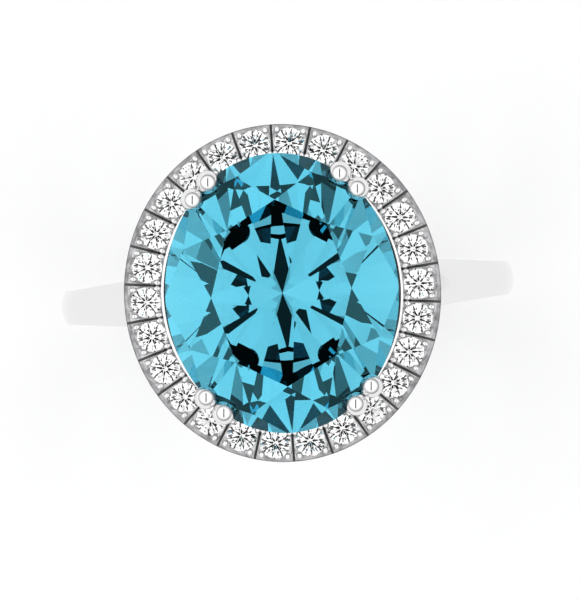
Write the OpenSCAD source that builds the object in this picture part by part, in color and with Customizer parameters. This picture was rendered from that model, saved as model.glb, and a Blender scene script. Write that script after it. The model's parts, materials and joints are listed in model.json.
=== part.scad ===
// Halo cocktail ring: a large oval stone held by eight claws, with a ring of small round
// stones around it, on a plain tapered shank.
// Millimetres. The origin is the centre of the finger hole, +Y runs along the hole (and along
// the centre stone's length), and +Z points up through the centre stone's table.

/* [Finger hole and shank] */
// Diameter of the finger hole
finger_d = 17.3; // [17.1:0.1:17.5]
// Thickness of the shank opposite the head
shank_thickness = 1.4; // [1.3:0.1:1.6]
// Extra thickness of the shank where it meets the head
shoulder_gain = 0.1; // [0.1:0.05:0.3]
// Width of the shank along the finger at its back and sides
shank_width = 1.5; // [1.4:0.1:1.7]
// Width of the shank along the finger where it meets the head
shoulder_width = 2.3; // [2.1:0.1:2.4]
// Radius of the dome across the shank's outer face
shank_dome_r = 1.35; // [1.3:0.05:1.5]

/* [Centre stone] */
// Length of the centre stone at its girdle
stone_length = 12; // [11.9:0.05:12.05]
// Width of the centre stone at its girdle
stone_width = 10; // [9.9:0.05:10.05]
// Length of the table
table_length = 8; // [7.6:0.1:8.2]
// Width of the table
table_width = 6; // [5.8:0.1:6.2]
// Height of the crown above the girdle
crown_h = 1.4; // [1.3:0.05:1.5]
// Thickness of the girdle at its thin places
girdle_t = 0.22; // [0.2:0.02:0.26]
// Depth of the pavilion below the girdle
pavilion_d = 4.55; // [4.5:0.05:4.6]
// Height of the culet over the skin of the finger
culet_gap = 0.65; // [0.6:0.05:0.8]

/* [Halo] */
// Diameter of one halo stone
halo_stone_d = 1.28; // [1.24:0.01:1.28]
// Width of the oval through the halo stones' centres
halo_line_w = 11.76; // [11.74:0.02:11.8]
// Length of the oval through the halo stones' centres
halo_line_l = 12.96; // [12.96:0.02:13]
// Width of the halo over its outer wall
halo_w = 13.64; // [13.56:0.02:13.7]
// Length of the halo over its outer wall
halo_l = 14.54; // [14.52:0.02:14.6]
// Depth of the halo from its prong tips to its underside
halo_depth = 1.1; // [1:0.05:1.2]
// Drop from the centre stone's girdle to the tables of the halo stones
halo_drop = 0.8; // [0.75:0.05:0.9]
// Width of the cut between two neighbouring halo stones
halo_cut_w = 0.11; // [0.09:0.01:0.13]
// Width of the slope along the halo's outer edge
halo_slope_w = 0.2; // [0.16:0.02:0.24]
// Height of the slope along the halo's outer edge
halo_slope_h = 0.35; // [0.3:0.05:0.45]

/* [Claws and rails] */
// Diameter of a claw's wire
claw_d = 0.72; // [0.68:0.02:0.76]
// Diameter of a claw's rounded tip
claw_tip_d = 0.98; // [0.9:0.02:1]
// Radial thickness of the rail that seats the centre stone
seat_rail_t = 0.55; // [0.5:0.05:0.6]
// Thickness of the gallery rail's wire
gallery_wire = 0.6; // [0.5:0.05:0.65]
// Radial thickness of the base rail
base_rail_t = 0.9; // [0.85:0.05:1]

/* [Hidden] */
// Number of halo stones, evenly spaced along their oval
HALO_COUNT = 26;
// Number of claws, in four pairs
CLAW_COUNT = 8;
// Room left for solder, and between a stone and the metal around it
solder_gap = 0.01;
stone_gap = 0.02;
// Sides of the many-sided ovals
oval_sides = 104;
// Longer than the whole ring, for cuts that run right through it
through = 30;
$fn = 96;

finger_r = finger_d / 2;
back_r = finger_r + shank_thickness;

// Levels up the head
culet_z = finger_r + culet_gap;
girdle_low_z = culet_z + pavilion_d;
girdle_top_z = girdle_low_z + girdle_t;
halo_table_z = girdle_low_z - halo_drop;
halo_bottom_z = halo_table_z - halo_depth;

// Proportions of a round brilliant, as parts of its girdle diameter
round_table = 0.57;
round_crown = 0.15;
round_girdle = 0.03;
round_pavilion = 0.43;
halo_r = halo_stone_d / 2;
halo_girdle_top_z = halo_table_z - round_crown * halo_stone_d;
halo_girdle_low_z = halo_girdle_top_z - round_girdle * halo_stone_d;
// Reach of the tools that cut right across the halo's band
band_reach = 3;

// How far the star tips lie from table to girdle, and the lower halves from girdle to culet
star_part = 0.5;
lower_half_part = 0.8;

// Rails under the centre stone. The seat rail shows beside the stone and hides at its two ends.
seat_rail_out = 0.18;
seat_rail_in = 0.21;
seat_rail_drop = 0.2;
seat_rail_lift = 0.35;
seat_rail_w = stone_width + 2 * seat_rail_out;
seat_rail_l = stone_length - 2 * seat_rail_in;
seat_rail_top_z = girdle_low_z - seat_rail_drop;
seat_rail_low_z = halo_bottom_z + seat_rail_lift;
gallery_z = 11.1;
base_rail_w = 6.4;
base_rail_l = 7.6;
base_rail_h = shank_thickness + shoulder_gain;

// The planes of the notch that a claw has for the girdle
notch_slack = 0.1;
notch_crown_slope = 36;
notch_pavilion_slope = 44;

// A claw pair straddles this angle, measured on the girdle from +X
claw_pair_angle = 49.75;
claw_tip_spread = 5.45;
claw_foot_spread = 7.5;
claw_foot_z = finger_r + 0.65;
claw_foot_inset = base_rail_t / 2;
claw_knee_out = 0.16;
claw_knee_bulge = 0.02;
claw_tip_rise = 0.27;

function claw_name(i) = str("claw_", i);
function halo_stone_name(i) = str("halo_stone_", i < 10 ? "0" : "", i);

// Point on an oval of half-widths a (along X) and b (along Y), pushed outwards by out
function oval_point(a, b, angle, out = 0) =
    let (normal = [cos(angle) / a, sin(angle) / b])
    [a * cos(angle), b * sin(angle)] + out * normal / norm(normal);

// A many-sided oval outline
function oval_outline(a, b, out = 0) =
    [for (k = [0:oval_sides - 1]) oval_point(a, b, (k + 0.5) * 360 / oval_sides, out)];

// Angle on the halo's centre line that gives equal spacing along the line itself
function even_angle(share) =
    let (a = halo_line_w / 2, b = halo_line_l / 2)
    let (roundness = (b * b - a * a) / (b * b + a * a))
    share * 360 - roundness * 45 / PI * sin(share * 720);

// Places round the halo are shares of a turn: stone i is at share i / HALO_COUNT, and the cut
// after it is half a step further on
function halo_share(i) = i / HALO_COUNT;
function halo_place(share) = oval_point(halo_line_w / 2, halo_line_l / 2, even_angle(share));
function halo_heading(share) =
    let (angle = even_angle(share))
    atan2(sin(angle) / halo_line_l, cos(angle) / halo_line_w);

// Angle of claw i on the girdle: pairs stand in the four quarters, counted anticlockwise
function claw_angle(i, spread) =
    let (quarter = floor((i - 1) / 2), side = (i % 2 == 1) ? -1 : 1)
    let (turned = claw_pair_angle + side * spread)
    quarter == 0 ? turned
    : quarter == 1 ? 180 - claw_pair_angle + side * spread
    : quarter == 2 ? 180 + turned
    : 360 - claw_pair_angle + side * spread;

// A plane through three points, as its normal and its distance along that normal, and the point
// at height z on the line where two such planes meet
function plane_through(p, q, r) =
    let (normal = cross(q - p, r - p))
    [normal, normal * p];
function meet_at_height(plane_a, plane_b, z) =
    let (m = plane_a[0], n = plane_b[0])
    let (c = plane_a[1] - m.z * z, d = plane_b[1] - n.z * z)
    let (det = m.x * n.y - m.y * n.x)
    [(c * n.y - m.y * d) / det, (m.x * d - c * n.x) / det, z];

// A brilliant cut: octagonal table, eight stars, eight kites and sixteen upper halves over the
// girdle, with sixteen lower halves and eight mains under it. The girdle's low edge is at z = 0.
module brilliant(girdle, table, crown, belt, pavilion) {
    // Main directions are multiples of 45 degrees and half directions lie between them
    top = [for (k = [0:7]) [table.x * cos(45 * k), table.y * sin(45 * k), belt + crown]];
    rim = [for (k = [0:15]) [girdle.x * cos(22.5 * k), girdle.y * sin(22.5 * k)]];
    along = [for (k = [0:7]) [-girdle.x * sin(45 * k), girdle.y * cos(45 * k), 0]];
    kite_planes = [for (k = [0:7])
        let (foot = [rim[2 * k].x, rim[2 * k].y, belt])
        plane_through(foot, foot + along[k], top[k])];
    main_planes = [for (k = [0:7])
        let (head = [rim[2 * k].x, rim[2 * k].y, 0])
        plane_through(head, head + along[k], [0, 0, -pavilion])];
    star_z = belt + crown * (1 - star_part);
    stars = [for (k = [0:7]) meet_at_height(kite_planes[k], kite_planes[(k + 1) % 8], star_z)];
    half_z = -pavilion * lower_half_part;
    halves = [for (k = [0:7]) meet_at_height(main_planes[k], main_planes[(k + 1) % 8], half_z)];
    points = concat(
        top, stars,
        [for (p = rim) [p.x, p.y, belt]],
        [for (p = rim) [p.x, p.y, 0]],
        halves, [[0, 0, -pavilion]]
    );
    first_star = 8;
    first_rim = 16;
    first_low = 32;
    first_half = 48;
    culet = 56;
    faces = concat(
        [[7, 6, 5, 4, 3, 2, 1, 0]],
        [for (k = [0:7]) [k, (k + 1) % 8, first_star + k]],
        [for (k = [0:7]) [k, first_star + k, first_rim + 2 * k, first_star + (k + 7) % 8]],
        [for (k = [0:7]) [first_star + k, first_rim + 2 * k + 1, first_rim + 2 * k]],
        [for (k = [0:7]) [first_star + k, first_rim + (2 * k + 2) % 16, first_rim + 2 * k + 1]],
        [for (k = [0:15])
            [first_rim + k, first_rim + (k + 1) % 16, first_low + (k + 1) % 16, first_low + k]],
        [for (k = [0:7]) [first_low + 2 * k, first_low + 2 * k + 1, first_half + k]],
        [for (k = [0:7]) [first_low + 2 * k + 1, first_low + (2 * k + 2) % 16, first_half + k]],
        [for (k = [0:7]) [first_low + 2 * k, first_half + k, culet, first_half + (k + 7) % 8]]
    );
    polyhedron(points = points, faces = faces, convexity = 2);
}

// The centre stone's facets, lowered by drop. They run past the oval girdle that trims them.
module centre_facets(drop = 0) {
    facet_reach = 1.02;
    translate([0, 0, girdle_low_z - drop])
        brilliant(facet_reach * [stone_width / 2, stone_length / 2],
            [table_width / 2, table_length / 2], crown_h, girdle_t, pavilion_d);
}

// A hollow oval wall between two heights
module oval_wall(a, b, thickness, low, high) {
    translate([0, 0, low])
        linear_extrude(high - low)
            difference() {
                polygon(oval_outline(a, b));
                polygon(oval_outline(a, b, -thickness));
            }
}

// A cylinder between two points
module rod(from, to, r) {
    reach = to - from;
    translate(from)
        rotate([0, acos(reach.z / norm(reach)), atan2(reach.y, reach.x)])
            cylinder(h = norm(reach), r = r);
}

// The finger's own space
module finger(r) {
    rotate([90, 0, 0])
        cylinder(h = through, r = r, center = true);
}

// Straight wire of claw i, grown by grow where another piece makes room for it
module claw_wire(i, grow) {
    foot_plan = oval_point(base_rail_w / 2 - claw_foot_inset, base_rail_l / 2 - claw_foot_inset,
        claw_angle(i, claw_foot_spread));
    knee_plan = claw_knee_plan(i);
    foot = [foot_plan.x, foot_plan.y, claw_foot_z];
    knee = [knee_plan.x, knee_plan.y, claw_knee_z()];
    rod(foot, knee, claw_d / 2 + grow);
}
function claw_knee_z() = girdle_low_z + girdle_t / 2;
function claw_knee_plan(i) =
    oval_point(stone_width / 2, stone_length / 2, claw_angle(i, claw_tip_spread), claw_knee_out);

module shank() {
    dome_line_r = back_r + shoulder_gain / 2 - shank_dome_r;
    side_top = 12;
    flare_start = 2;
    flare_end = 8.5;
    flare_steps = 12;
    // Half-width of the shank along the finger at height z, easing out to the shoulders
    function half_width(z) =
        let (t = min(1, max(0, (z - flare_start) / (flare_end - flare_start))))
        (shank_width + (shoulder_width - shank_width) * (1 - cos(90 * t))) / 2;
    heights = concat([-side_top],
        [for (k = [0:flare_steps]) flare_start + (flare_end - flare_start) * k / flare_steps],
        [side_top]);
    color("gainsboro")
        difference() {
            intersection() {
                translate([0, 0, shoulder_gain / 2])
                    rotate([90, 0, 0])
                        rotate_extrude()
                            translate([dome_line_r, 0])
                                circle(shank_dome_r);
                rotate([90, 0, 90])
                    linear_extrude(through, center = true)
                        polygon(concat(
                            [for (z = heights) [half_width(z), z]],
                            [for (k = [len(heights) - 1:-1:0]) [-half_width(heights[k]), heights[k]]]
                        ));
            }
            finger(finger_r);
            // The shank's two ends meet the base rail's outer wall
            linear_extrude(through)
                polygon(oval_outline(base_rail_w / 2 + solder_gap, base_rail_l / 2 + solder_gap));
        }
}

module base_rail() {
    color("gainsboro")
        difference() {
            intersection() {
                oval_wall(base_rail_w / 2, base_rail_l / 2, base_rail_t, 0, 2 * finger_r);
                finger(finger_r + base_rail_h);
            }
            finger(finger_r);
            for (i = [1:CLAW_COUNT]) claw_wire(i, solder_gap);
        }
}

module gallery_rail() {
    // The rail runs inside the claws, which are let into its outer face
    claw_line_inset = 0.1;
    rise = (gallery_z - claw_foot_z) / (claw_knee_z() - claw_foot_z);
    foot = [base_rail_w, base_rail_l] / 2 - [claw_foot_inset, claw_foot_inset];
    knee = [stone_width, stone_length] / 2 + [claw_knee_out, claw_knee_out];
    half_a = foot.x + (knee.x - foot.x) * rise - claw_line_inset;
    half_b = foot.y + (knee.y - foot.y) * rise - claw_line_inset;
    color("silver")
        difference() {
            oval_wall(half_a, half_b, gallery_wire,
                gallery_z - gallery_wire / 2, gallery_z + gallery_wire / 2);
            for (i = [1:CLAW_COUNT]) claw_wire(i, solder_gap);
        }
}

module seat_rail() {
    color("silver")
        difference() {
            oval_wall(seat_rail_w / 2, seat_rail_l / 2, seat_rail_t, seat_rail_low_z, seat_rail_top_z);
            centre_facets(stone_gap);
            for (i = [1:CLAW_COUNT]) claw_wire(i, solder_gap);
        }
}

// Everything a setter drills and cuts away for one halo stone, from its seat to the hole below
module halo_seat() {
    lip_over = 0.045;
    seat_room = 0.015;
    cone_slope = 0.86;
    lip_r = halo_r - lip_over;
    recess_r = halo_r + seat_room;
    light_hole_r = 0.25;
    lip_z = halo_girdle_top_z + lip_over;
    cone_top_z = halo_girdle_low_z - stone_gap;
    cone_low_z = cone_top_z - (recess_r - light_hole_r) * cone_slope;
    above = 1;
    below = 1;
    rotate_extrude()
        polygon([
            [0, halo_bottom_z - below], [light_hole_r, halo_bottom_z - below],
            [light_hole_r, cone_low_z], [recess_r, cone_top_z], [recess_r, lip_z],
            [lip_r, lip_z], [lip_r, halo_table_z + above], [0, halo_table_z + above]
        ]);
}

// The round-bottomed notch across the halo at a stone, which leaves the prongs at its corners
module halo_scallop() {
    half_gap = 0.44;
    depth = 0.2;
    scallop_r = (half_gap * half_gap + depth * depth) / (2 * depth);
    translate([0, 0, halo_table_z - depth + scallop_r])
        rotate([0, 90, 0])
            cylinder(h = band_reach, r = scallop_r, center = true);
}

// The cut across the halo between two stones
module halo_cut() {
    depth_below_girdle = 0.16;
    floor_z = halo_girdle_low_z - depth_below_girdle;
    translate([-band_reach / 2, -halo_cut_w / 2, floor_z])
        cube([band_reach, halo_cut_w, halo_depth]);
}

// The halo before any stone is set: an oval band with a slope round its outer edge
module halo_blank() {
    outer = [halo_w, halo_l] / 2;
    top_share = [1 - halo_slope_w / outer.x, 1 - halo_slope_w / outer.y];
    difference() {
        union() {
            translate([0, 0, halo_bottom_z])
                linear_extrude(halo_depth - halo_slope_h)
                    polygon(oval_outline(outer.x, outer.y));
            translate([0, 0, halo_table_z - halo_slope_h])
                linear_extrude(halo_slope_h, scale = top_share, slices = 1)
                    polygon(oval_outline(outer.x, outer.y));
        }
        linear_extrude(through)
            polygon(oval_outline(seat_rail_w / 2 + solder_gap, seat_rail_l / 2 + solder_gap));
    }
}

module halo_plate() {
    color("silver")
        difference() {
            halo_blank();
            for (i = [0:HALO_COUNT - 1])
                translate(halo_place(halo_share(i))) {
                    halo_seat();
                    rotate(halo_heading(halo_share(i))) halo_scallop();
                }
            for (i = [0:HALO_COUNT - 1])
                translate(halo_place(halo_share(i + 0.5)))
                    rotate(halo_heading(halo_share(i + 0.5))) halo_cut();
        }
}

module centre_stone() {
    color("deepskyblue")
        intersection() {
            centre_facets();
            translate([0, 0, finger_r])
                linear_extrude(finger_d)
                    polygon(oval_outline(stone_width / 2, stone_length / 2));
        }
}

// The notch filed across claw i, in which the girdle sits
module girdle_notch(i) {
    angle = claw_angle(i, claw_tip_spread);
    reach = 2;
    low_z = girdle_low_z - notch_slack;
    top_z = girdle_top_z + notch_slack;
    translate(oval_point(stone_width / 2, stone_length / 2, angle))
        rotate([90, 0, atan2(sin(angle) / stone_length, cos(angle) / stone_width)])
            linear_extrude(reach, center = true)
                polygon([
                    [stone_gap, low_z],
                    [stone_gap, top_z],
                    [-reach, top_z + reach * tan(notch_crown_slope)],
                    [-reach, low_z - reach * tan(notch_pavilion_slope)]
                ]);
}

module claw(i) {
    knee_plan = claw_knee_plan(i);
    tip_plan = oval_point(stone_width / 2, stone_length / 2, claw_angle(i, claw_tip_spread));
    knee = [knee_plan.x, knee_plan.y, claw_knee_z()];
    tip = [tip_plan.x, tip_plan.y, girdle_top_z + claw_tip_rise];
    color("white")
        difference() {
            union() {
                claw_wire(i, 0);
                translate(knee) sphere(claw_d / 2 + claw_knee_bulge);
                translate(tip) sphere(claw_tip_d / 2);
            }
            girdle_notch(i);
        }
}

// Stone 1 is at +X and they run anticlockwise
module halo_stone(i) {
    share = halo_share(i - 1);
    place = halo_place(share);
    color("whitesmoke")
        translate([place.x, place.y, halo_girdle_low_z])
            rotate(halo_heading(share))
                brilliant([halo_r, halo_r], round_table * [halo_r, halo_r],
                    round_crown * halo_stone_d, round_girdle * halo_stone_d,
                    round_pavilion * halo_stone_d);
}

shank();
base_rail();
gallery_rail();
seat_rail();
halo_plate();
centre_stone();
for (i = [1:CLAW_COUNT])
    claw(i);
for (i = [1:HALO_COUNT])
    halo_stone(i);
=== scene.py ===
import json
from math import atan2, cos, pi, radians, sin, sqrt

import bmesh
import bpy
from mathutils import Matrix, Vector


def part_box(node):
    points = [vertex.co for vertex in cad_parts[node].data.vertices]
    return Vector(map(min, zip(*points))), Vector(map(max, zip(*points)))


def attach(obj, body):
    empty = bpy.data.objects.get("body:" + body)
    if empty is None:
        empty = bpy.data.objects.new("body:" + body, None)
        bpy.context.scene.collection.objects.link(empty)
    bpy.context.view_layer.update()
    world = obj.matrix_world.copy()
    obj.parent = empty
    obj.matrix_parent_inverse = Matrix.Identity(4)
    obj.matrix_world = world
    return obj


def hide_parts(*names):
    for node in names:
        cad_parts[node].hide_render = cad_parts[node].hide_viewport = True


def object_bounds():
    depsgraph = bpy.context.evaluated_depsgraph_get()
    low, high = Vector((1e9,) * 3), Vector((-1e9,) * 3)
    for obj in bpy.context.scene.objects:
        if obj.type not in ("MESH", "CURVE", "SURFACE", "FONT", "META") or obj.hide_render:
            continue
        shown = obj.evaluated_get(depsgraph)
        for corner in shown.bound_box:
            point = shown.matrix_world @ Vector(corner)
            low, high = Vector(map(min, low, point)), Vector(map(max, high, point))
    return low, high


bl_info = {
    "name": "Halo ring",
    "version": (1, 0, 0),
    "blender": (4, 5, 0),
    "location": "3D View > Sidebar > Halo ring",
    "description": "Builds an oval-stone halo ring round its packed frame",
    "category": "Add Mesh",
}

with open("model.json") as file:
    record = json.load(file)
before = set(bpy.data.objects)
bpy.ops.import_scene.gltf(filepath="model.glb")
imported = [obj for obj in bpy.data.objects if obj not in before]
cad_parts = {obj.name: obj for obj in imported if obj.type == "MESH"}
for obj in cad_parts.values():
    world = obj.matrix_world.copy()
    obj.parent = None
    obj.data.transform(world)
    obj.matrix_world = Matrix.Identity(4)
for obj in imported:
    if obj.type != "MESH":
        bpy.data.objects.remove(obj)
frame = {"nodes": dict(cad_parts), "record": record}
CAD_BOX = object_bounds()

MM = 0.001
BODY = "root"
MERGE = 1e-8
SHANK_METAL = "shank_metal"
SETTING_METAL = "setting_metal"
CENTRE_GEM = "centre_gem"
HALO_GEM = "halo_gem"
HALO_STONES = sorted(n for n in frame["nodes"] if n.startswith("halo_stone_"))
CLAWS = sorted(n for n in frame["nodes"] if n.startswith("claw_"))


# ---------------------------------------------------------------- places read from the frame

def mount(name):
    return next(m for m in frame["record"]["mounts"] if m["name"] == name)


def centre_of(node):
    low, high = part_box(node)
    return (low + high) / 2


FINGER_R = mount("finger_bore")["dims"]["r_mm"] * MM
STONE_LOW, STONE_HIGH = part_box("centre_stone")
PLATE_LOW, PLATE_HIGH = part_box("halo_plate")
SEAT_LOW, SEAT_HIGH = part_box("seat_rail")
GALLERY_LOW, GALLERY_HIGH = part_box("gallery_rail")
BASE_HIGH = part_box("base_rail")[1]
SHANK_LOW, SHANK_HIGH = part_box("shank")
FLOOR_Z = CAD_BOX[0].z
# How far the camera and the tent are turned about the head
ROLL = radians(4.0)
HALO_R = max((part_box(n)[1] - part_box(n)[0]).x for n in HALO_STONES) / 2
HALO_CENTRES = [centre_of(n).to_2d() for n in HALO_STONES]

# Proportions of a round brilliant, as parts of its diameter
ROUND_TABLE = 0.57
ROUND_CROWN = 0.15
ROUND_GIRDLE = 0.03
ROUND_PAVILION = 0.43
HALO_GIRDLE_Z = PLATE_HIGH.z - (ROUND_CROWN + ROUND_GIRDLE) * 2 * HALO_R

# Room between a stone and the metal round it, and for solder between two pieces of metal
STONE_GAP = 0.02 * MM
SOLDER_GAP = 0.01 * MM


def oval_point(half, angle):
    """A point on the oval with half-widths half."""
    return Vector((half[0] * cos(angle), half[1] * sin(angle)))


def oval_heading(half, angle):
    """The direction square to the oval at a point on it."""
    return atan2(sin(angle) / half[1], cos(angle) / half[0])


def halo_heading(index):
    """Outward direction of the halo at a stone, square to the line through its neighbours."""
    before = HALO_CENTRES[index - 1]
    after = HALO_CENTRES[(index + 1) % len(HALO_CENTRES)]
    along = after - before
    return atan2(-along.x, along.y)


def between(first, second, share):
    return first + (second - first) * share


# ---------------------------------------------------------------- sizes and colours to set

class RingShape(bpy.types.PropertyGroup):
    crown_height: bpy.props.FloatProperty(
        name="Crown height", description="Height of the centre stone's table above its girdle",
        default=1.4 * MM, unit="LENGTH")
    girdle: bpy.props.FloatProperty(
        name="Girdle", description="Thickness of the centre stone's girdle",
        default=0.22 * MM, unit="LENGTH")
    shank_dome: bpy.props.FloatProperty(
        name="Shank dome", description="Radius of the dome across the shank's outer face",
        default=1.35 * MM, unit="LENGTH")
    shank_width: bpy.props.FloatProperty(
        name="Shank width", description="Width of the shank at its back and sides",
        default=1.5 * MM, unit="LENGTH")
    claw_wire: bpy.props.FloatProperty(
        name="Claw wire", description="Diameter of a claw's wire",
        default=0.72 * MM, unit="LENGTH")
    claw_bead: bpy.props.FloatProperty(
        name="Claw bead", description="Diameter of a claw's rounded tip",
        default=1.03 * MM, unit="LENGTH")
    pair_angle: bpy.props.FloatProperty(
        name="Claw pair angle", description="Where a claw pair stands on the girdle, from +X",
        default=radians(49.75), subtype="ANGLE")
    tip_spread: bpy.props.FloatProperty(
        name="Claw tip spread", description="Angle from the middle of a pair to each tip",
        default=radians(5.45), subtype="ANGLE")
    foot_spread: bpy.props.FloatProperty(
        name="Claw foot spread", description="Angle from the middle of a pair to each foot",
        default=radians(7.5), subtype="ANGLE")
    table_half: bpy.props.FloatVectorProperty(
        name="Table", description="Half-width and half-length of the centre stone's table",
        default=(3 * MM, 4 * MM), size=2, unit="LENGTH")
    star_part: bpy.props.FloatProperty(
        name="Star part", description="How far the star facets reach from table to girdle",
        default=0.5)
    lower_half_part: bpy.props.FloatProperty(
        name="Lower half part", description="How far the lower halves reach down to the culet",
        default=0.8)
    centre_index: bpy.props.FloatProperty(
        name="Centre index", description="Refractive index of the centre stone", default=2.16)
    halo_index: bpy.props.FloatProperty(
        name="Halo index", description="Refractive index of the halo stones", default=2.16)
    halo_tip: bpy.props.FloatProperty(
        name="Halo tip", description="Degrees by which halo stones lie out of level", default=1.8)
    halo_cut: bpy.props.FloatProperty(
        name="Halo cut", description="Width of the cut between two halo stones",
        default=0.11 * MM, unit="LENGTH")


class RingFinish(bpy.types.PropertyGroup):
    metal: bpy.props.FloatVectorProperty(
        name="Metal", description="Rhodium white of the metal", subtype="COLOR", size=3,
        default=(0.81, 0.81, 0.815))
    # Painted shade: this grey darkens the halo metal in its cuts, where shade falls
    recess: bpy.props.FloatVectorProperty(
        name="Recess", description="Duller metal deep in the cuts", subtype="COLOR", size=3,
        default=(0.24, 0.24, 0.245))
    blue: bpy.props.FloatVectorProperty(
        name="Blue", description="Light that the blue stone lets through", subtype="COLOR",
        size=3, default=(0.03, 0.685, 0.81))
    depth: bpy.props.FloatProperty(
        name="Depth of blue", description="Absorption of the blue stone per metre", default=190)
    blue_sheen: bpy.props.FloatVectorProperty(
        name="Blue sheen", description="Tint of what the blue stone's facets reflect",
        subtype="COLOR", size=3, default=(0.10, 0.42, 0.52))
    clear: bpy.props.FloatVectorProperty(
        name="Clear", description="Light that the halo stones let through", subtype="COLOR",
        size=3, default=(0.9, 0.92, 0.94))
    clear_depth: bpy.props.FloatProperty(
        name="Depth of clear", description="Absorption of the halo stones per metre", default=30)
    floor: bpy.props.FloatVectorProperty(
        name="Floor", description="Pale floor", subtype="COLOR", size=3,
        default=(0.975, 0.975, 0.98))


def shape():
    return bpy.context.scene.ring_shape


def finish():
    return bpy.context.scene.ring_finish


# ---------------------------------------------------------------- modelling by hand

def deselect_all():
    if bpy.context.mode != "OBJECT":
        bpy.ops.object.mode_set(mode="OBJECT")
    bpy.ops.object.select_all(action="DESELECT")


def make_active(piece):
    deselect_all()
    piece.select_set(True)
    bpy.context.view_layer.objects.active = piece


def edit(piece, mode="VERT"):
    make_active(piece)
    bpy.ops.object.mode_set(mode="EDIT")
    bpy.ops.mesh.select_mode(type=mode)
    bpy.ops.mesh.select_all(action="DESELECT")


def select(piece, test, kind="verts"):
    """Selects, in edit mode, the elements of a kind that pass a test."""
    mesh = bmesh.from_edit_mesh(piece.data)
    for element in getattr(mesh, kind):
        element.select_set(test(element))
    mesh.select_flush_mode()
    bmesh.update_edit_mesh(piece.data)


def bake_place(piece):
    """Applies a piece's place, turn and scale to its mesh."""
    make_active(piece)
    bpy.ops.object.transform_apply(location=True, rotation=True, scale=True)
    return piece


def apply_modifier(piece, kind, **settings):
    make_active(piece)
    modifier = piece.modifiers.new(kind.title(), kind)
    for key, value in settings.items():
        setattr(modifier, key, value)
    bpy.ops.object.modifier_apply(modifier=modifier.name)


def tidy_normals(piece):
    edit(piece)
    bpy.ops.mesh.select_all(action="SELECT")
    bpy.ops.mesh.remove_doubles(threshold=MERGE)
    bpy.ops.mesh.normals_make_consistent(inside=False)
    bpy.ops.object.mode_set(mode="OBJECT")


def smooth(piece, angle=35):
    make_active(piece)
    bpy.ops.object.shade_smooth_by_angle(angle=radians(angle))


def copy_of(piece, name):
    twin = piece.copy()
    twin.data = piece.data.copy()
    twin.name = name
    bpy.context.collection.objects.link(twin)
    return twin


def join(pieces):
    deselect_all()
    for piece in pieces:
        piece.select_set(True)
    bpy.context.view_layer.objects.active = pieces[0]
    bpy.ops.object.join()
    return pieces[0]


def discard(piece):
    bpy.data.objects.remove(piece)


def cut_away(piece, cutter):
    apply_modifier(piece, "BOOLEAN", operation="DIFFERENCE", solver="EXACT", object=cutter)
    discard(cutter)


def soften(piece, width, segments=2, angle=30):
    apply_modifier(piece, "BEVEL", width=width, segments=segments, limit_method="ANGLE",
                   angle_limit=radians(angle), harden_normals=False, use_clamp_overlap=True)


def set_piece(piece, name, slot, material, *nodes):
    """Names a finished piece, fixes it to the ring and gives it its finish."""
    piece.name = name
    piece.data.name = name
    piece.data.materials.clear()
    piece.data.materials.append(material)
    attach(piece, BODY)
    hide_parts(*nodes)


def oval_band(loops, sides):
    """A closed oval band. Each loop is (half width, half length, height) of an edge round it."""
    wide, long, height = loops[0]
    deselect_all()
    bpy.ops.mesh.primitive_circle_add(vertices=sides, radius=1, location=(0, 0, height))
    piece = bpy.context.object
    piece.scale = (wide, long, 1)
    bake_place(piece)
    edit(piece, "EDGE")
    bpy.ops.mesh.select_all(action="SELECT")
    for next_wide, next_long, next_height in loops[1:]:
        bpy.ops.mesh.extrude_edges_move(
            TRANSFORM_OT_translate={"value": (0, 0, next_height - height)})
        bpy.ops.transform.resize(
            value=(next_wide / wide, next_long / long, 1), center_override=(0, 0, next_height))
        wide, long, height = next_wide, next_long, next_height
    select(piece, lambda edge: edge.is_boundary, "edges")
    bpy.ops.mesh.bridge_edge_loops()
    bpy.ops.object.mode_set(mode="OBJECT")
    tidy_normals(piece)
    return piece


# ---------------------------------------------------------------- cutting a stone

def facet_plane(first, second, third):
    """The plane of three points, as a point and the direction away from the stone's middle."""
    normal = (second - first).cross(third - first).normalized()
    return first, normal if normal.dot(first) > 0 else -normal


def where_facets_meet(plane_a, plane_b, height):
    """The point at a height on the line where two facets meet."""
    (p, m), (q, n) = plane_a, plane_b
    c = m.dot(p) - m.z * height
    d = n.dot(q) - n.z * height
    turn = m.x * n.y - m.y * n.x
    return Vector(((c * n.y - m.y * d) / turn, (m.x * d - c * n.x) / turn, height))


def brilliant_planes(half, table, crown, girdle, pavilion, reach):
    """Every facet of a brilliant, from its table to its culet. The girdle's low edge is at 0,
    and the facets would meet at reach times its half-widths if the blank didn't end first."""
    up = Vector((0, 0, girdle))
    rim = [Vector((reach * half[0] * cos(k * pi / 8), reach * half[1] * sin(k * pi / 8), 0))
           for k in range(16)]
    top = [Vector((table[0] * cos(k * pi / 4), table[1] * sin(k * pi / 4), girdle + crown))
           for k in range(8)]
    along = [Vector((-half[0] * sin(k * pi / 4), half[1] * cos(k * pi / 4), 0)) for k in range(8)]
    culet = Vector((0, 0, -pavilion))
    kites = [facet_plane(rim[2 * k] + up, rim[2 * k] + up + along[k], top[k]) for k in range(8)]
    mains = [facet_plane(rim[2 * k], rim[2 * k] + along[k], culet) for k in range(8)]
    planes = [(top[0], Vector((0, 0, 1))), *kites, *mains]
    for k in range(8):
        after = (k + 1) % 8
        star = where_facets_meet(kites[k], kites[after], girdle + crown * (1 - shape().star_part))
        lower = where_facets_meet(mains[k], mains[after], -pavilion * shape().lower_half_part)
        first, second, third = rim[2 * k], rim[2 * k + 1], rim[2 * after]
        planes += [
            facet_plane(top[k], top[after], star),
            facet_plane(star, second + up, first + up), facet_plane(star, third + up, second + up),
            facet_plane(first, second, lower), facet_plane(second, third, lower),
        ]
    return planes


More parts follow.
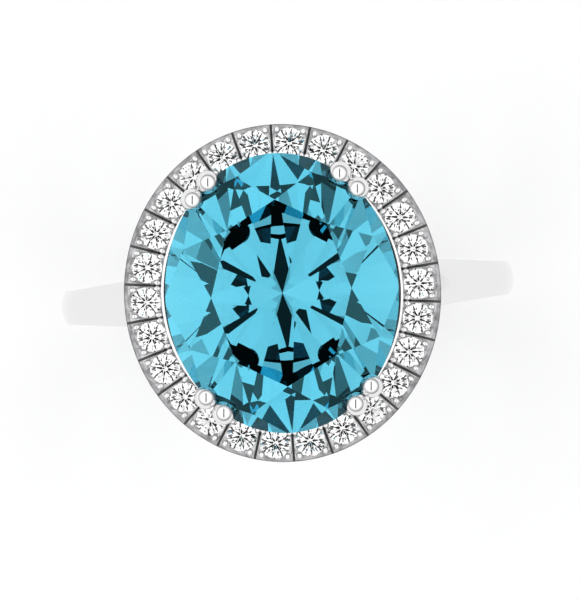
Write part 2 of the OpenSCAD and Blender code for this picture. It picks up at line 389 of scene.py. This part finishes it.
def brilliant(half, table, crown, girdle, pavilion, reach):
    """A brilliant ground from an oval blank: one cut across it for each facet."""
    deselect_all()
    bpy.ops.mesh.primitive_cylinder_add(
        vertices=144, radius=1, depth=2 * (pavilion + crown), location=(0, 0, 0))
    stone = bpy.context.object
    stone.scale = (half[0], half[1], 1)
    bake_place(stone)
    edit(stone)
    for place, outward in brilliant_planes(half, table, crown, girdle, pavilion, reach):
        bpy.ops.mesh.select_all(action="SELECT")
        bpy.ops.mesh.bisect(plane_co=place, plane_no=outward, use_fill=True, clear_outer=True,
                            threshold=MERGE)
    bpy.ops.object.mode_set(mode="OBJECT")
    tidy_normals(stone)
    return stone


def centre_stone_solid(drop=0):
    """The centre stone in its place, or lowered by drop as the cutter for its own seat."""
    crown, girdle = shape().crown_height, shape().girdle
    pavilion = STONE_HIGH.z - STONE_LOW.z - crown - girdle
    facet_reach = 1.02
    stone = brilliant((STONE_HIGH.x, STONE_HIGH.y), shape().table_half, crown, girdle,
                      pavilion, facet_reach)
    stone.location = (0, 0, STONE_LOW.z + pavilion - drop)
    return bake_place(stone)


# ---------------------------------------------------------------- shader arithmetic

class Socket:
    """A shader value that takes part in Python arithmetic."""

    def __init__(self, tree, socket):
        self.tree = tree
        self.socket = socket

    def math(self, operation, first, second=None):
        values = {"0": first} if second is None else {"0": first, "1": second}
        return self.tree.add("Math", {"operation": operation}, **values)

    def __add__(self, other):
        return self.math("ADD", self, other)

    def __radd__(self, other):
        return self.math("ADD", other, self)

    def __sub__(self, other):
        return self.math("SUBTRACT", self, other)

    def __rsub__(self, other):
        return self.math("SUBTRACT", other, self)

    def __mul__(self, other):
        return self.math("MULTIPLY", self, other)

    def __rmul__(self, other):
        return self.math("MULTIPLY", other, self)

    def __abs__(self):
        return self.math("ABSOLUTE", self)

    def ramp(self, low, high):
        """Rises from 0 to 1 between two values, or falls if low is above high."""
        return self.tree.add("MapRange", {}, Value=self, From_Min=low, From_Max=high)


class Tree:
    """The nodes of one material, or of the world."""

    def __init__(self, owner, end="OutputMaterial"):
        owner.use_nodes = True
        self.owner = owner
        self.nodes = owner.node_tree.nodes
        self.links = owner.node_tree.links
        self.nodes.clear()
        self.output = self.nodes.new("ShaderNode" + end)

    def add(self, kind, settings, out=0, **inputs):
        """Adds a node. Inputs go by name or number and take values or other sockets."""
        node = self.nodes.new("ShaderNode" + kind)
        for key, value in settings.items():
            setattr(node, key, value)
        for key, value in inputs.items():
            key = key.replace("_", " ")
            self.feed(node.inputs[int(key)] if key.isdigit() else node.inputs[key], value)
        return Socket(self, node.outputs[out])

    def feed(self, socket, value):
        if isinstance(value, Socket):
            self.links.new(value.socket, socket)
        else:
            socket.default_value = value

    def mix(self, factor, first, second):
        """A mix of two colours."""
        return self.add("Mix", {"data_type": "RGBA"}, out=2, **{"0": factor, "6": first, "7": second})

    def place(self, scale=(1, 1, 1)):
        """Object coordinates, stretched by scale."""
        point = self.add("TexCoord", {}, out="Object")
        return self.add("Mapping", {}, Vector=point, Scale=scale)

    def noise(self, where, scale, detail=3, roughness=0.5):
        return self.add("TexNoise", {}, Vector=where, Scale=scale, Detail=detail,
                        Roughness=roughness)

    def height(self):
        """Height up the ring, in metres."""
        point = self.add("TexCoord", {}, out="Object")
        return self.add("SeparateXYZ", {}, out="Z", Vector=point)

    def finish(self, surface, volume=None):
        self.links.new(surface.socket, self.output.inputs["Surface"])
        if volume:
            self.links.new(volume.socket, self.output.inputs["Volume"])
        return self.owner


def rgba(colour):
    return (*colour, 1)


def polished_metal(name, wear):
    """Bright rhodium plate with hairline marks and a faint unevenness from polishing."""
    tree = Tree(bpy.data.materials.new(name))
    hairlines = tree.noise(tree.place((1, 9, 1)), 5200, detail=4, roughness=0.65)
    cloud = tree.noise(tree.place(), 420, detail=3)
    mottle = tree.noise(tree.place(), 1500, detail=2)
    metal = finish().metal
    shade = tree.mix(cloud, rgba([c * 0.97 for c in metal]), rgba(metal))
    roughness = 0.035 + wear * (0.09 * hairlines + 0.05 * mottle)
    bump = tree.add("Bump", {}, Strength=0.05 * wear + 0.01, Distance=4e-6,
                    Height=0.7 * hairlines + 0.3 * cloud)
    surface = tree.add("BsdfPrincipled", {}, Base_Color=shade, Metallic=1.0,
                       Roughness=roughness, Normal=bump)
    return tree.finish(surface)


def setting_metal(name, top_z, slope_z):
    """Bright on the beads and the outer wall. Between them, where only gravers reach, the metal is
    rougher and bumpier, and its colour is painted shade: grey and uneven in the cuts, and darkest at
    the bottom of the cuts."""
    tree = Tree(bpy.data.materials.new(name))
    recess = finish().recess
    up = tree.height()
    tooled = tree.noise(tree.place(), 6500, detail=3, roughness=0.6)
    cloud = tree.noise(tree.place(), 2600, detail=3)
    ragged = up + 0.05 * MM * (tooled - 0.5)
    # Painted shade masks: cut greys the colour below the top and also raises roughness, deep darkens
    # the colour most at the bottom of the cuts
    wall = up.ramp(slope_z - 0.18 * MM, slope_z - 0.1 * MM)
    cut = ragged.ramp(top_z - 0.03 * MM, top_z - 0.08 * MM) * wall
    deep = ragged.ramp(top_z - 0.26 * MM, top_z - 0.36 * MM) * wall
    # Lighter and darker greys of the painted shade
    light, dark = [2.2 * c for c in recess], [0.3 * c for c in recess]
    grey = tree.mix(cloud.ramp(0.35, 0.65), rgba(recess), rgba(light))
    shade = tree.mix(deep, tree.mix(cut, rgba(finish().metal), grey), rgba(dark))
    roughness = 0.06 + 0.2 * cut + 0.05 * cloud
    bump = tree.add("Bump", {}, Strength=0.35, Distance=9e-6, Height=0.6 * tooled + 0.4 * cloud)
    surface = tree.add("BsdfPrincipled", {}, Base_Color=shade, Metallic=1.0,
                       Roughness=roughness, Normal=bump)
    return tree.finish(surface)


def gem(name, index, tint, density, sheen=(1, 1, 1)):
    """Polished transparent stone, with the faintest drag lines of the polishing lap."""
    tree = Tree(bpy.data.materials.new(name))
    drag = tree.noise(tree.place((1, 1, 6)), 1400, detail=2)
    roughness = 0.006 * drag
    surface = tree.add("BsdfPrincipled", {}, Base_Color=(1, 1, 1, 1), Roughness=roughness,
                       IOR=index, Transmission_Weight=1.0, Specular_Tint=rgba(sheen))
    volume = tree.add("VolumeAbsorption", {}, Color=rgba(tint), Density=density)
    return tree.finish(surface, volume)


def floor_material(name):
    tree = Tree(bpy.data.materials.new(name))
    grain = tree.noise(tree.place(), 60, detail=4)
    low, high = [c * 0.985 for c in finish().floor], list(finish().floor)
    surface = tree.add("BsdfPrincipled", {}, Base_Color=tree.mix(grain, rgba(low), rgba(high)),
                       Roughness=0.7 + 0.1 * grain)
    return tree.finish(surface)


def made(name, maker, *details):
    """A material, made the first time it is asked for."""
    return bpy.data.materials.get(name) or maker(name, *details)


# ---------------------------------------------------------------- the pieces

class RING_OT_shank(bpy.types.Operator):
    """Adds the shank: a domed band that widens from the back to the shoulders"""
    bl_idname = "ring.shank"
    bl_label = "Shank"

    def execute(self, context):
        dome_r = shape().shank_dome
        # The shank's outside is a circle that stands out further at the head than at the back
        gain = BASE_HIGH.z + SHANK_LOW.z
        walls = self.side_walls()
        deselect_all()
        bpy.ops.mesh.primitive_torus_add(
            major_segments=224, minor_segments=72, minor_radius=dome_r,
            major_radius=-SHANK_LOW.z + gain / 2 - dome_r,
            location=(0, 0, gain / 2), rotation=(pi / 2, 0, 0))
        piece = bake_place(context.object)
        apply_modifier(piece, "BOOLEAN", operation="INTERSECT", solver="EXACT", object=walls)
        discard(walls)
        cut_away(piece, self.finger())
        cut_away(piece, self.head())
        tidy_normals(piece)
        soften(piece, width=0.13 * MM, segments=4, angle=25)
        smooth(piece, 30)
        set_piece(piece, "Shank", SHANK_METAL, made("band_metal", polished_metal, 1.0), "shank")
        return {"FINISHED"}

    def side_walls(self):
        """The space between the shank's two side faces, drawn upwards from the back."""
        start, end, steps = 2 * MM, 8.5 * MM, 16
        reach, below, above = 30 * MM, 12 * MM, 4 * MM
        narrow = shape().shank_width
        gain = (SHANK_HIGH.y - SHANK_LOW.y) - narrow
        deselect_all()
        bpy.ops.mesh.primitive_cube_add(size=1, location=(0, 0, (start - below) / 2))
        walls = bpy.context.object
        walls.scale = (reach, narrow, start + below)
        bake_place(walls)
        edit(walls, "FACE")
        select(walls, lambda face: face.normal.z > 0.9, "faces")
        width = narrow
        for step in range(1, steps + 1):
            next_width = narrow + gain * (1 - cos(pi / 2 * step / steps))
            bpy.ops.mesh.extrude_region_move(
                TRANSFORM_OT_translate={"value": (0, 0, (end - start) / steps)})
            bpy.ops.transform.resize(value=(1, next_width / width, 1))
            width = next_width
        bpy.ops.mesh.extrude_region_move(TRANSFORM_OT_translate={"value": (0, 0, above)})
        bpy.ops.object.mode_set(mode="OBJECT")
        return walls

    def finger(self):
        """The finger's own space."""
        deselect_all()
        bpy.ops.mesh.primitive_cylinder_add(vertices=256, radius=FINGER_R, depth=20 * MM,
                                            rotation=(pi / 2, 0, 0))
        return bake_place(bpy.context.object)

    def head(self):
        """Where the base rail stands, so that the shank ends at its outer wall."""
        height, overlap = 20 * MM, 0.1 * MM
        deselect_all()
        bpy.ops.mesh.primitive_cylinder_add(vertices=160, radius=1, depth=height,
                                            location=(0, 0, height / 2))
        space = bpy.context.object
        space.scale = (BASE_HIGH.x - overlap, BASE_HIGH.y - overlap, 1)
        return bake_place(space)


class RING_OT_rails(bpy.types.Operator):
    """Adds the base rail, the gallery rail and the rail that seats the centre stone"""
    bl_idname = "ring.rails"
    bl_label = "Rails"

    def execute(self, context):
        metal = made("rail_metal", polished_metal, 0.8)
        self.seat_rail(metal)
        self.gallery_rail(metal)
        self.base_rail(metal)
        return {"FINISHED"}

    def seat_rail(self, metal):
        wide, long = SEAT_HIGH.x, SEAT_HIGH.y
        wall = 0.55 * MM
        lip = 0.2 * MM
        inner_drop = 0.36 * MM
        piece = oval_band([
            (wide, long, SEAT_LOW.z),
            (wide, long, SEAT_HIGH.z),
            (wide - lip, long - lip, SEAT_HIGH.z),
            (wide - wall, long - wall, SEAT_HIGH.z - inner_drop),
            (wide - wall, long - wall, SEAT_LOW.z),
        ], sides=192)
        cut_away(piece, centre_stone_solid(STONE_GAP))
        tidy_normals(piece)
        soften(piece, width=0.05 * MM, segments=3)
        smooth(piece)
        set_piece(piece, "StoneRail", SETTING_METAL, metal, "seat_rail")

    def gallery_rail(self, metal):
        middle = centre_of("gallery_rail").z
        wire_r = (GALLERY_HIGH.z - GALLERY_LOW.z) / 2
        wire_sides = 20
        wide, long = GALLERY_HIGH.x - wire_r, GALLERY_HIGH.y - wire_r
        piece = oval_band([
            (wide + wire_r * cos(a), long + wire_r * cos(a), middle + wire_r * sin(a))
            for a in (2 * pi * k / wire_sides for k in range(wire_sides))], sides=160)
        smooth(piece)
        set_piece(piece, "GalleryRail", SETTING_METAL, metal, "gallery_rail")

    def base_rail(self, metal):
        wide, long = BASE_HIGH.x, BASE_HIGH.y
        wall = 0.9 * MM
        piece = oval_band([
            (wide, long, FINGER_R), (wide, long, BASE_HIGH.z),
            (wide - wall, long - wall, BASE_HIGH.z), (wide - wall, long - wall, FINGER_R),
        ], sides=160)
        soften(piece, width=0.14 * MM, segments=4)
        # Saddle the rail over the finger: each pair of columns sinks by the finger's curve there
        near = 6e-4
        edit(piece)
        columns = {round(abs(v.co.x) / MM, 3) for v in piece.data.vertices}
        for column in sorted(columns):
            sink = FINGER_R - sqrt(FINGER_R ** 2 - (column * MM) ** 2)
            select(piece, lambda v: abs(abs(v.co.x) / MM - column) < near)
            bpy.ops.transform.translate(value=(0, 0, -sink))
        bpy.ops.object.mode_set(mode="OBJECT")
        smooth(piece)
        set_piece(piece, "BaseRail", SETTING_METAL, metal, "base_rail")


class RING_OT_halo(bpy.types.Operator):
    """Adds the halo plate: an oval band with a drilled seat for each stone, a cut between each
    two stones and four prongs at each stone"""
    bl_idname = "ring.halo"
    bl_label = "Halo plate"

    def execute(self, context):
        wide, long = PLATE_HIGH.x, PLATE_HIGH.y
        inner_wide, inner_long = SEAT_HIGH.x + SOLDER_GAP, SEAT_HIGH.y + SOLDER_GAP
        slope_w, slope_z = 0.2 * MM, PLATE_HIGH.z - 0.35 * MM
        bead_rise = 0.07 * MM
        top_z = PLATE_HIGH.z - bead_rise
        piece = oval_band([
            (wide, long, PLATE_LOW.z), (wide, long, slope_z),
            (wide - slope_w, long - slope_w, top_z),
            (inner_wide, inner_long, top_z), (inner_wide, inner_long, PLATE_LOW.z),
        ], sides=312)
        cut_away(piece, self.row_of(self.scallop()))
        cut_away(piece, self.row_of(self.seat()))
        cut_away(piece, self.row_of(self.cut(), 0.5))
        tidy_normals(piece)
        soften(piece, width=0.022 * MM, angle=32)
        piece = join([piece, self.row_of(self.beads())])
        smooth(piece, 50)
        # The halo plate's colour holds painted shade in its cuts
        metal = made("halo_metal", setting_metal, PLATE_HIGH.z, slope_z)
        set_piece(piece, "HaloPlate", SETTING_METAL, metal, "halo_plate")
        return {"FINISHED"}

    def row_of(self, tool, shift=0.0):
        """One tool, repeated at every stone, or half-way to the next one."""
        count = len(HALO_CENTRES)
        twins = []
        for index, centre in enumerate(HALO_CENTRES):
            after = (index + 1) % count
            place = between(centre, HALO_CENTRES[after], shift)
            turn = halo_heading(index)
            step = (halo_heading(after) - turn + pi) % (2 * pi) - pi
            twin = copy_of(tool, f"tool_{index}")
            twin.location = (*place, 0)
            twin.rotation_euler = (0, 0, turn + shift * step)
            twins.append(bake_place(twin))
        discard(tool)
        return join(twins)

    def seat(self):
        """What the drill and the seat cutter take out for one stone."""
        recess, light_hole = HALO_R + 0.015 * MM, 0.25 * MM
        cone_slope = 0.86
        past = 1 * MM
        loops = [
            (light_hole, PLATE_LOW.z - past),
            (light_hole, HALO_GIRDLE_Z - (recess - light_hole) * cone_slope),
            (recess, HALO_GIRDLE_Z - STONE_GAP),
            (recess, PLATE_HIGH.z + past),
        ]
        deselect_all()
        r, z = loops[0]
        bpy.ops.mesh.primitive_circle_add(vertices=40, radius=r, location=(0, 0, z),
                                          fill_type="NGON")
        tool = bpy.context.object
        bake_place(tool)
        edit(tool, "FACE")
        bpy.ops.mesh.select_all(action="SELECT")
        for next_r, next_z in loops[1:]:
            bpy.ops.mesh.extrude_region_move(
                TRANSFORM_OT_translate={"value": (0, 0, next_z - z)})
            bpy.ops.transform.resize(value=(next_r / r, next_r / r, 1),
                                     center_override=(0, 0, next_z))
            r, z = next_r, next_z
        bpy.ops.object.mode_set(mode="OBJECT")
        tidy_normals(tool)
        return tool

    def scallop(self):
        """The round-bottomed notch across the band at one stone."""
        half_gap, depth = 0.44 * MM, 0.2 * MM
        r = (half_gap ** 2 + depth ** 2) / (2 * depth)
        deselect_all()
        bpy.ops.mesh.primitive_cylinder_add(
            vertices=64, radius=r, depth=3 * MM, rotation=(0, pi / 2, 0),
            location=(0, 0, PLATE_HIGH.z - depth + r))
        return bake_place(bpy.context.object)

    def beads(self):
        """The four beads that hold one stone, raised with a graver and rounded over."""
        bead_r, half_along, half_aside, sunk = 0.17 * MM, 0.52 * MM, 0.565 * MM, 0.137 * MM
        beads = []
        for along, aside in ((1, 1), (1, -1), (-1, 1), (-1, -1)):
            deselect_all()
            bpy.ops.mesh.primitive_uv_sphere_add(segments=16, ring_count=12, radius=bead_r)
            bead = bpy.context.object
            bead.scale = (1.1, 0.8, 0.8)
            bead.location = (along * half_along, aside * half_aside, PLATE_HIGH.z - sunk)
            beads.append(bake_place(bead))
        return join(beads)

    def cut(self):
        """The saw cut across the band between two stones."""
        reach, height = 3 * MM, 2 * MM
        below_girdle = 0.16 * MM
        deselect_all()
        bpy.ops.mesh.primitive_cube_add(
            size=1, location=(0, 0, HALO_GIRDLE_Z - below_girdle + height / 2))
        tool = bpy.context.object
        tool.scale = (reach, shape().halo_cut, height)
        return bake_place(tool)


class RING_OT_claws(bpy.types.Operator):
    """Adds the eight claws: bent wires with a bead over the girdle"""
    bl_idname = "ring.claws"
    bl_label = "Claws"

    def execute(self, context):
        pattern = self.pattern()
        metal = made("claw_metal", polished_metal, 0.7)
        half = (STONE_HIGH.x, STONE_HIGH.y)
        inset = 0.45 * MM
        foot_half = (BASE_HIGH.x - inset, BASE_HIGH.y - inset)
        for index, node in enumerate(CLAWS):
            tip_angle = self.angle(index, shape().tip_spread)
            foot_angle = self.angle(index, shape().foot_spread)
            edge = oval_point(half, tip_angle)
            heading = oval_heading(half, tip_angle)
            foot = oval_point(foot_half, foot_angle)
            aside = (foot - edge).dot(Vector((-sin(heading), cos(heading))))
            claw = copy_of(pattern, f"Claw{index + 1}")
            lean = atan2(aside, self.girdle_z() - self.foot_z())
            claw.matrix_world = (Matrix.Translation((*edge, self.girdle_z()))
                                 @ Matrix.Rotation(heading, 4, "Z")
                                 @ Matrix.Rotation(lean, 4, "X"))
            bake_place(claw)
            smooth(claw, 60)
            set_piece(claw, f"Claw{index + 1}", SETTING_METAL, metal, node)
        discard(pattern)
        return {"FINISHED"}

    def girdle_z(self):
        return STONE_HIGH.z - shape().crown_height - shape().girdle

    def foot_z(self):
        """The middle of the foot, which leans, so its low edge lies a part of the wire below."""
        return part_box(CLAWS[0])[0].z + 0.3 * shape().claw_wire

    def angle(self, index, spread):
        """Claw pairs stand in the four quarters, counted anticlockwise from +X."""
        quarter, second = divmod(index, 2)
        side = spread if second else -spread
        middle = shape().pair_angle
        if quarter in (1, 3):
            middle = pi - middle
        return middle + side + (pi if quarter > 1 else 0)

    def pattern(self):
        """One claw, with the girdle's edge at the origin and outwards along +X."""
        bead, wire = shape().claw_bead / 2, shape().claw_wire / 2
        tip_rise, knee_out, knee_bulge, foot_in = 0.27 * MM, 0.16 * MM, 0.035 * MM, 2.46 * MM
        opening = 46
        centre = Vector((0, 0, shape().girdle + tip_rise))
        knee = Vector((knee_out, 0, shape().girdle / 2))
        foot = Vector((-foot_in, 0, self.foot_z() - self.girdle_z()))
        # The wire leaves the bead outwards, turns at the knee and runs down to the base rail.
        # Each station is a place on it, its radius there and how much of the turn is done.
        stations = [
            (centre.lerp(knee, 0.95), wire * 1.04, 0.0),
            (knee.lerp(foot, 0.03) + Vector((knee_bulge, 0, 0)), wire * 1.01, 0.5),
            (knee.lerp(foot, 0.10), wire, 1.0),
            (knee.lerp(foot, 0.35), wire, 1.0),
            (knee.lerp(foot, 0.70), wire, 1.0),
            (foot, wire, 1.0),
        ]
        out_lean = atan2(knee.x, centre.z - knee.z)
        in_lean = atan2(foot.x - knee.x, knee.z - foot.z)
        deselect_all()
        bpy.ops.mesh.primitive_uv_sphere_add(segments=32, ring_count=24, radius=bead)
        piece = bpy.context.object
        piece.location = centre
        piece.rotation_euler = (0, -out_lean, 0)
        bake_place(piece)
        axis = Vector((sin(out_lean), 0, -cos(out_lean)))
        open_cos = cos(radians(opening))
        edit(piece, "FACE")
        select(piece, lambda f: (f.calc_center_median() - centre).normalized().dot(axis) > open_cos,
               "faces")
        bpy.ops.mesh.delete(type="FACE")
        bpy.ops.mesh.select_mode(type="EDGE")
        select(piece, lambda edge: edge.is_boundary, "edges")
        mesh = bmesh.from_edit_mesh(piece.data)
        rim = [v.co.copy() for v in mesh.verts if v.select]
        middle = sum(rim, Vector()) / len(rim)
        rim_r = sum((v - middle).length for v in rim) / len(rim)
        turned = 0.0
        for place, r, share in stations:
            bpy.ops.mesh.extrude_edges_move(TRANSFORM_OT_translate={"value": place - middle})
            bpy.ops.transform.resize(value=(r / rim_r,) * 3, center_override=place)
            goal = share * (out_lean - in_lean)
            self.turn_about_y(piece, goal - turned, place)
            middle, rim_r, turned = place, r, goal
        bpy.ops.mesh.edge_face_add()
        bpy.ops.object.mode_set(mode="OBJECT")
        tidy_normals(piece)
        apply_modifier(piece, "SUBSURF", levels=1, render_levels=1)
        cut_away(piece, self.notch())
        return piece

    def turn_about_y(self, piece, angle, place):
        """Turns what is selected about a line along Y through a place."""
        mesh = bmesh.from_edit_mesh(piece.data)
        turn = Matrix.Rotation(angle, 3, "Y")
        for v in mesh.verts:
            if v.select:
                v.co = turn @ (v.co - place) + place
        bmesh.update_edit_mesh(piece.data)

    def notch(self):
        """The wedge that a file takes out of a claw for the girdle and the facets beside it."""
        slack, size = 0.1 * MM, 4 * MM
        crown_slope, pavilion_slope = 36, 44
        girdle = shape().girdle
        deselect_all()
        bpy.ops.mesh.primitive_cube_add(size=size, location=(STONE_GAP - size / 2, 0, girdle / 2))
        wedge = bake_place(bpy.context.object)
        for edge_z, slope, up in ((girdle + slack, crown_slope, 1), (-slack, pavilion_slope, -1)):
            edit(wedge)
            bpy.ops.mesh.select_all(action="SELECT")
            lean = radians(slope)
            bpy.ops.mesh.bisect(
                plane_co=(STONE_GAP, 0, edge_z), plane_no=(sin(lean), 0, up * cos(lean)),
                use_fill=True, clear_outer=True)
            bpy.ops.object.mode_set(mode="OBJECT")
        tidy_normals(wedge)
        return wedge


class RING_OT_centre_stone(bpy.types.Operator):
    """Adds the oval centre stone, cut facet by facet"""
    bl_idname = "ring.centre_stone"
    bl_label = "Centre stone"

    def execute(self, context):
        piece = centre_stone_solid()
        blue = made("blue_gem", gem, shape().centre_index, finish().blue, finish().depth,
                    finish().blue_sheen)
        set_piece(piece, "CentreStone", CENTRE_GEM, blue, "centre_stone")
        return {"FINISHED"}


class RING_OT_halo_stones(bpy.types.Operator):
    """Adds the round halo stones, each a little out of level as it was set by hand"""
    bl_idname = "ring.halo_stones"
    bl_label = "Halo stones"

    def execute(self, context):
        across = 2 * HALO_R
        r = HALO_R + 0.008 * MM
        table = ROUND_TABLE * r
        pattern = brilliant((r, r), (table, table), ROUND_CROWN * across, ROUND_GIRDLE * across,
                            ROUND_PAVILION * across, 1.0)
        clear = made("clear_gem", gem, shape().halo_index, finish().clear, finish().clear_depth)
        # Steps that come round to no two stones alike
        tip_step, roll_step, turn_step = 2.4, 3.9, 0.9
        for index, node in enumerate(HALO_STONES):
            stone = copy_of(pattern, f"HaloStone{index + 1}")
            tip = radians(shape().halo_tip) * sin(index * tip_step)
            roll = radians(shape().halo_tip) * cos(index * roll_step)
            stone.location = (*HALO_CENTRES[index], HALO_GIRDLE_Z)
            stone.rotation_euler = (tip, roll, halo_heading(index) + turn_step * index)
            bake_place(stone)
            set_piece(stone, f"HaloStone{index + 1}", HALO_GEM, clear, node)
        discard(pattern)
        return {"FINISHED"}


class RING_OT_stage(bpy.types.Operator):
    """Adds the pale floor, the studio light and the camera"""
    bl_idname = "ring.stage"
    bl_label = "Stage"

    def execute(self, context):
        self.floor()
        self.sky(context.scene)
        self.camera(context.scene)
        context.scene.view_settings.view_transform = "Standard"
        return {"FINISHED"}

    def floor(self):
        """A floor some metres wide, so that its edge lies at the horizon from low down."""
        deselect_all()
        bpy.ops.mesh.primitive_plane_add(size=12, location=(0, 0, FLOOR_Z))
        floor = bake_place(bpy.context.object)
        floor.name = "Floor"
        floor.data.materials.append(made("pale_floor", floor_material))

    def sky(self, scene):
        """A white tent with a long dark slit over the ring. It's brightest overhead, dimmer
        lower down and brighter again at its foot."""
        brightness, slit_depth = 1.5, 0.98
        slit_half_width, slit_half_length = radians(4.8), radians(37)
        tree = Tree(bpy.data.worlds.new("Tent"), "OutputWorld")
        point = tree.add("TexCoord", {}, out="Generated")
        turned = tree.add("Mapping", {}, Vector=point, Rotation=(0, 0, ROLL))
        across, along, up = (tree.add("SeparateXYZ", {}, out=axis, Vector=turned)
                             for axis in "XYZ")
        inside = [abs(way).ramp(1.25 * sin(limit), sin(limit))
                  for way, limit in ((across, slit_half_width), (along, slit_half_length))]
        slit = inside[0] * inside[1] * up.ramp(0.1, 0.2)
        foot, roof = 0.45 * up.ramp(0.2, 0.1), 0.7 * up.ramp(0.22, 0.68)
        tent = 0.3 + foot + roof - 0.08 * across - 0.12 * abs(along)
        level = brightness * tent * (1 - slit_depth * slit)
        scene.world = tree.finish(
            tree.add("Background", {}, Color=(1, 1, 1, 1), Strength=level))

    def camera(self, scene):
        data = bpy.data.cameras.new("Camera")
        camera = bpy.data.objects.new("Camera", data)
        scene.collection.objects.link(camera)
        distance, lean = 330 * MM, radians(1.0)
        aim = (0.325 * MM, -0.321 * MM, STONE_HIGH.z - shape().crown_height)
        data.sensor_width = 36
        data.lens = 462.6
        data.clip_start = 0.01
        data.clip_end = 20
        turn = Matrix.Rotation(lean, 3, "Y") @ Matrix.Rotation(-ROLL, 3, "Z")
        camera.location = Vector(aim) + turn @ Vector((0, 0, distance))
        camera.rotation_euler = turn.to_euler()
        scene.camera = camera


class RING_PT_panel(bpy.types.Panel):
    """Lists the ring's pieces, sizes and colours"""
    bl_label = "Halo ring"
    bl_idname = "RING_PT_panel"
    bl_space_type = "VIEW_3D"
    bl_region_type = "UI"
    bl_category = "Halo ring"

    def draw(self, context):
        layout = self.layout
        for operator in OPERATORS:
            layout.operator(operator.bl_idname)
        for group in (context.scene.ring_shape, context.scene.ring_finish):
            for name in group.__annotations__:
                layout.prop(group, name)


GROUPS = (RingShape, RingFinish)
OPERATORS = (RING_OT_shank, RING_OT_rails, RING_OT_halo, RING_OT_claws,
             RING_OT_centre_stone, RING_OT_halo_stones, RING_OT_stage)


def register():
    for cls in (*GROUPS, *OPERATORS, RING_PT_panel):
        bpy.utils.register_class(cls)
    bpy.types.Scene.ring_shape = bpy.props.PointerProperty(type=RingShape)
    bpy.types.Scene.ring_finish = bpy.props.PointerProperty(type=RingFinish)


def unregister():
    del bpy.types.Scene.ring_finish
    del bpy.types.Scene.ring_shape
    for cls in reversed((*GROUPS, *OPERATORS, RING_PT_panel)):
        bpy.utils.unregister_class(cls)


def main():
    register()
    bpy.ops.ring.shank()
    bpy.ops.ring.rails()
    bpy.ops.ring.halo()
    bpy.ops.ring.claws()
    bpy.ops.ring.centre_stone()
    bpy.ops.ring.halo_stones()
    bpy.ops.ring.stage()


if __name__ == "__main__":
    main()
